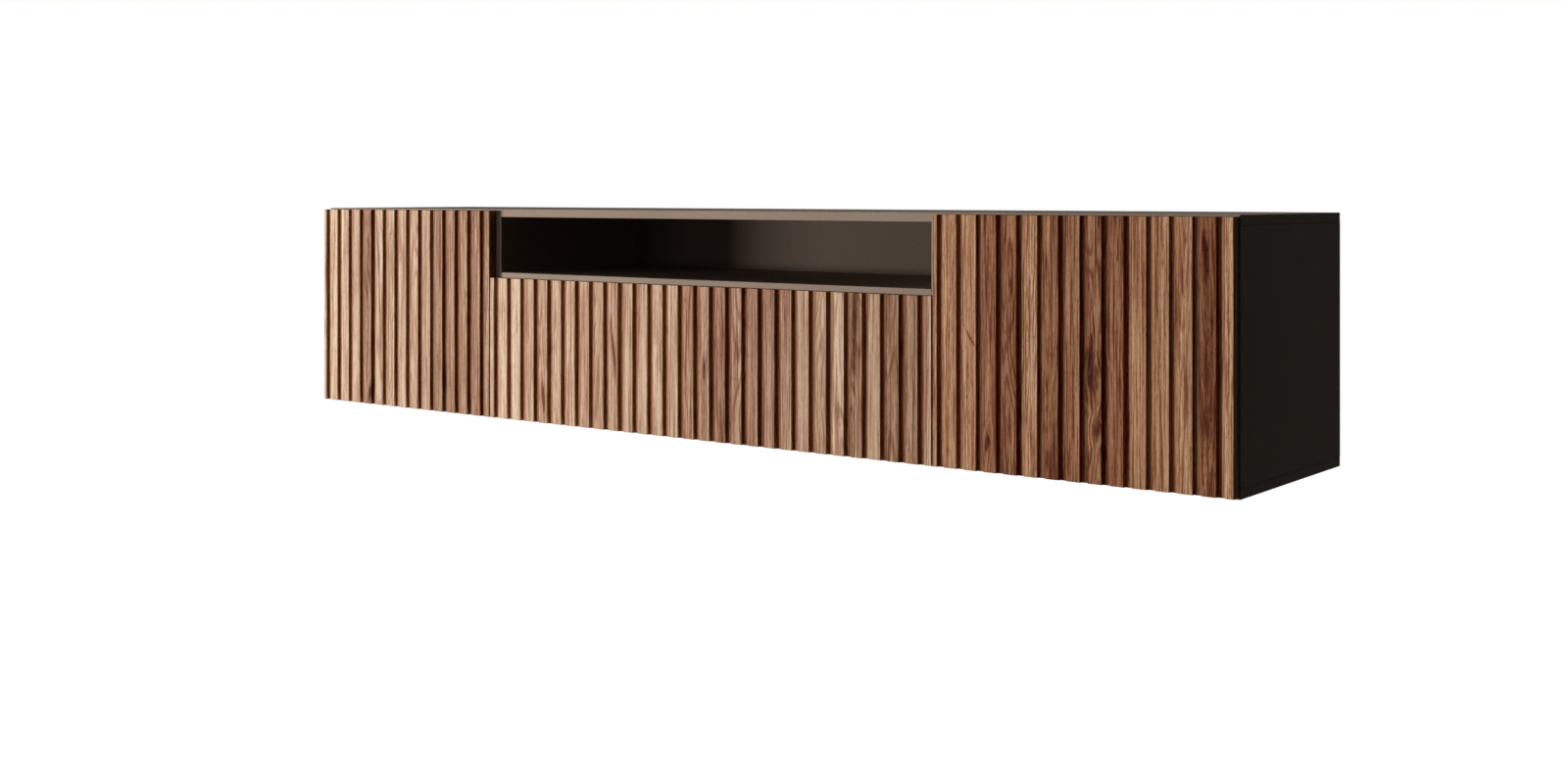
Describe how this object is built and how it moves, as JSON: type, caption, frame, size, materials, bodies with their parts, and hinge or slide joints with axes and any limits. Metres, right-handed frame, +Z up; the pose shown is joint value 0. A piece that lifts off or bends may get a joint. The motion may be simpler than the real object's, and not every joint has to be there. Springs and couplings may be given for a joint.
{
  "type": "floating media console",
  "caption": "Long, low wall-hung media cabinet with slatted walnut fronts: hinged side doors, a drop-down flap and an open niche, hooked on wall plates",
  "frame": {"origin": "on the wall plane, midway between the four wall screws that carry the cabinet", "axes": "+X to the right along the cabinet's length, +Y towards the wall, +Z up"},
  "size_m": [2, 0.408, 0.4],
  "materials": {
    "carcass_finish": "taupe foil on particle board, matt",
    "back_finish": "thin dark brown fibreboard, matt",
    "front_veneer": "walnut veneer milled into upright slats, satin",
    "hinge_steel": "nickel-plated pressed steel",
    "pin_steel": "zinc-plated steel",
    "latch_plastic": "grey moulded plastic",
    "plunger_plastic": "light grey moulded plastic",
    "bump_rubber": "clear grey silicone",
    "hanger_plastic": "off-white moulded plastic",
    "wall_steel": "zinc-plated steel, 2 mm",
    "cam_zinc": "zinc die casting",
    "dowel_beech": "plain beech"
  },
  "bodies": {
    "carcass": {"top_panel": "carcass_finish", "bottom_panel": "carcass_finish", "left_side_panel": "carcass_finish", "right_side_panel": "carcass_finish", "left_divider": "carcass_finish", "right_divider": "carcass_finish", "niche_shelf": "carcass_finish", "back_panel": "back_finish", "left_shelf": "carcass_finish", "right_shelf": "carcass_finish", "shelf_pins": "pin_steel", "cam_fittings": "cam_zinc", "dowels": "dowel_beech", "left_hinge_arms": "hinge_steel", "right_hinge_arms": "hinge_steel", "flap_hinge_arms": "hinge_steel", "left_hinge_plates": "hinge_steel", "right_hinge_plates": "hinge_steel", "flap_hinge_plates": "hinge_steel", "left_latch": "latch_plastic", "right_latch": "latch_plastic", "flap_left_latch": "latch_plastic", "flap_right_latch": "latch_plastic", "stay_posts": "pin_steel", "left_hanger": "hanger_plastic", "right_hanger": "hanger_plastic", "left_hanger_hook": "wall_steel", "right_hanger_hook": "wall_steel", "left_wall_plate": "wall_steel", "right_wall_plate": "wall_steel"},
    "left_door": {"left_door": "front_veneer", "left_hinge_cups": "hinge_steel", "left_latch_disc": "pin_steel", "left_bump_pads": "bump_rubber"},
    "left_door_links": {"left_hinge_links": "hinge_steel", "left_hinge_pins": "pin_steel"},
    "right_door": {"right_door": "front_veneer", "right_hinge_cups": "hinge_steel", "right_latch_disc": "pin_steel", "right_bump_pads": "bump_rubber"},
    "right_door_links": {"right_hinge_links": "hinge_steel", "right_hinge_pins": "pin_steel"},
    "flap": {"flap": "front_veneer", "flap_hinge_cups": "hinge_steel", "flap_latch_discs": "pin_steel", "flap_bump_pads": "bump_rubber", "stay_lugs": "pin_steel"},
    "flap_links": {"flap_hinge_links": "hinge_steel", "flap_hinge_pins": "pin_steel"},
    "stay_arms": {"stay_arms": "pin_steel"},
    "left_plunger": {"left_plunger": "plunger_plastic"},
    "right_plunger": {"right_plunger": "plunger_plastic"},
    "flap_left_plunger": {"flap_left_plunger": "plunger_plastic"},
    "flap_right_plunger": {"flap_right_plunger": "plunger_plastic"}
  },
  "joints": [
    {"name": "left_link_swing", "type": "hinge", "parent": "carcass", "child": "left_door_links", "pos_m": [-0.9715, -0.396, -0.137], "axis": [0, 0, 1], "range_deg": [0, 25]},
    {"name": "left_door_swing", "type": "hinge", "parent": "left_door_links", "child": "left_door", "pos_m": [-0.9895, -0.398, -0.137], "axis": [0, 0, -1], "range_deg": [0, 115]},
    {"name": "right_link_swing", "type": "hinge", "parent": "carcass", "child": "right_door_links", "pos_m": [0.9715, -0.396, -0.137], "axis": [0, 0, -1], "range_deg": [0, 25]},
    {"name": "right_door_swing", "type": "hinge", "parent": "right_door_links", "child": "right_door", "pos_m": [0.9895, -0.398, -0.137], "axis": [0, 0, 1], "range_deg": [0, 115]},
    {"name": "flap_link_swing", "type": "hinge", "parent": "carcass", "child": "flap_links", "pos_m": [0, -0.396, -0.3085], "axis": [-1, 0, 0], "range_deg": [0, 25]},
    {"name": "flap_swing", "type": "hinge", "parent": "flap_links", "child": "flap", "pos_m": [0, -0.398, -0.3265], "axis": [1, 0, 0], "range_deg": [0, 115]},
    {"name": "stay_swing", "type": "hinge", "parent": "flap", "child": "stay_arms", "pos_m": [0, -0.384, -0.1539], "axis": [-1, 0, 0], "range_deg": [0, 47.1]},
    {"name": "left_plunger_slide", "type": "slide", "parent": "carcass", "child": "left_plunger", "axis": [0, -1, 0], "range_m": [0, 0.01]},
    {"name": "right_plunger_slide", "type": "slide", "parent": "carcass", "child": "right_plunger", "axis": [0, -1, 0], "range_m": [0, 0.01]},
    {"name": "flap_left_plunger_slide", "type": "slide", "parent": "carcass", "child": "flap_left_plunger", "axis": [0, -1, 0], "range_m": [0, 0.01]},
    {"name": "flap_right_plunger_slide", "type": "slide", "parent": "carcass", "child": "flap_right_plunger", "axis": [0, -1, 0], "range_m": [0, 0.01]}
  ],
  "couplings": [
    {"joint": "left_link_swing", "follows": "left_door_swing", "ratio": 0.21739},
    {"joint": "right_link_swing", "follows": "right_door_swing", "ratio": 0.21739},
    {"joint": "flap_link_swing", "follows": "flap_swing", "ratio": 0.21739},
    {"joint": "stay_swing", "follows": "flap_swing", "ratio": 0.40914},
    {"joint": "left_plunger_slide", "follows": "left_door_swing", "m_per_rad": 0.004982},
    {"joint": "right_plunger_slide", "follows": "right_door_swing", "m_per_rad": 0.004982},
    {"joint": "flap_left_plunger_slide", "follows": "flap_swing", "m_per_rad": 0.004982},
    {"joint": "flap_right_plunger_slide", "follows": "flap_swing", "m_per_rad": 0.004982}
  ]
}
